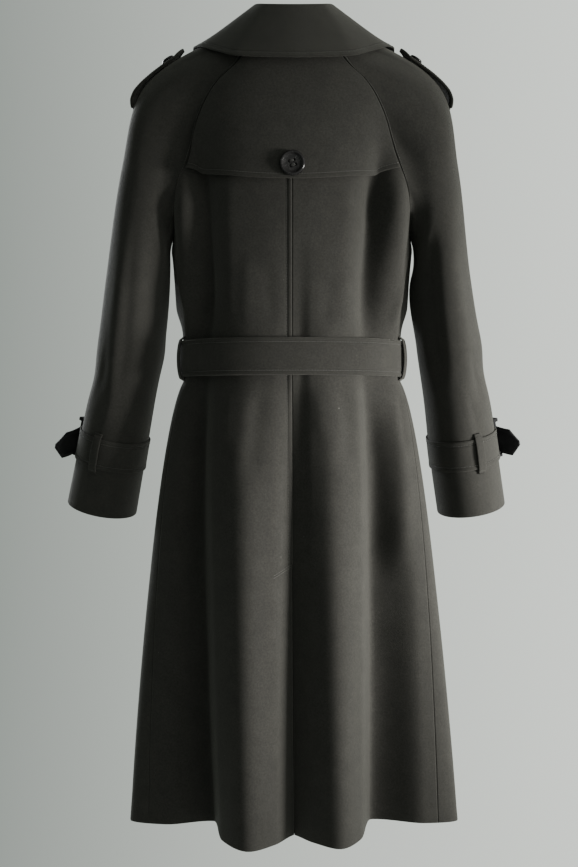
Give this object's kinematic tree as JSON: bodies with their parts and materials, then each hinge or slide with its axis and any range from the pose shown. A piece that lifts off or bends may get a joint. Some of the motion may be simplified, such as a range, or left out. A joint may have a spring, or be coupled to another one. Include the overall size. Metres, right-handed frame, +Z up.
{
  "type": "double-breasted coat",
  "caption": "Long hollow wool coat with a double-breasted front, raglan sleeves, wide collar, buttoned storm flap, epaulettes, belt, cuff straps and a back vent.",
  "frame": {"origin": "centre of the neck opening, level with the top of the shoulder seams, where a wearer's shoulders hold the coat up", "axes": "+Z up, the double-breasted front faces -Y, the wearer's left is +X"},
  "size_m": [0.6616, 0.2323, 1.1305],
  "materials": {
    "wool": "matte brushed wool, charcoal with an olive tint",
    "wool_strap": "matte brushed wool in two layers, topstitched",
    "button": "polished dark marbled horn look",
    "leather": "smooth black leather"
  },
  "bodies": {
    "root": {"back_left": "wool", "back_right": "wool", "back_skirt_left": "wool", "back_skirt_right": "wool", "back_skirt_side_left": "wool", "back_skirt_side_right": "wool", "belt": "wool_strap", "belt_buckle": "leather", "belt_loop_left": "wool_strap", "belt_loop_right": "wool_strap", "collar_fall": "wool", "collar_stand": "wool", "cuff_buckle_left": "leather", "cuff_buckle_right": "leather", "cuff_loop_left": "wool_strap", "cuff_loop_right": "wool_strap", "cuff_strap_left": "wool_strap", "cuff_strap_right": "wool_strap", "cuff_tip_left": "leather", "cuff_tip_right": "leather", "epaulette_button_left": "button", "epaulette_button_right": "button", "epaulette_left": "wool_strap", "epaulette_right": "wool_strap", "front_button_left_1": "button", "front_button_left_2": "button", "front_button_left_3": "button", "front_button_left_4": "button", "front_button_right_1": "button", "front_button_right_2": "button", "front_button_right_3": "button", "front_button_right_4": "button", "front_left": "wool", "front_right": "wool", "front_skirt_left": "wool", "front_skirt_right": "wool", "front_skirt_side_left": "wool", "front_skirt_side_right": "wool", "lapel_left": "wool", "lapel_right": "wool", "shoulder_back_left": "wool", "shoulder_back_right": "wool", "shoulder_front_left": "wool", "shoulder_front_right": "wool", "sleeve_back_left": "wool", "sleeve_back_right": "wool", "sleeve_front_left": "wool", "sleeve_front_right": "wool", "storm_flap": "wool", "storm_flap_button": "button", "vent_underlap": "wool"}
  },
  "joints": []
}
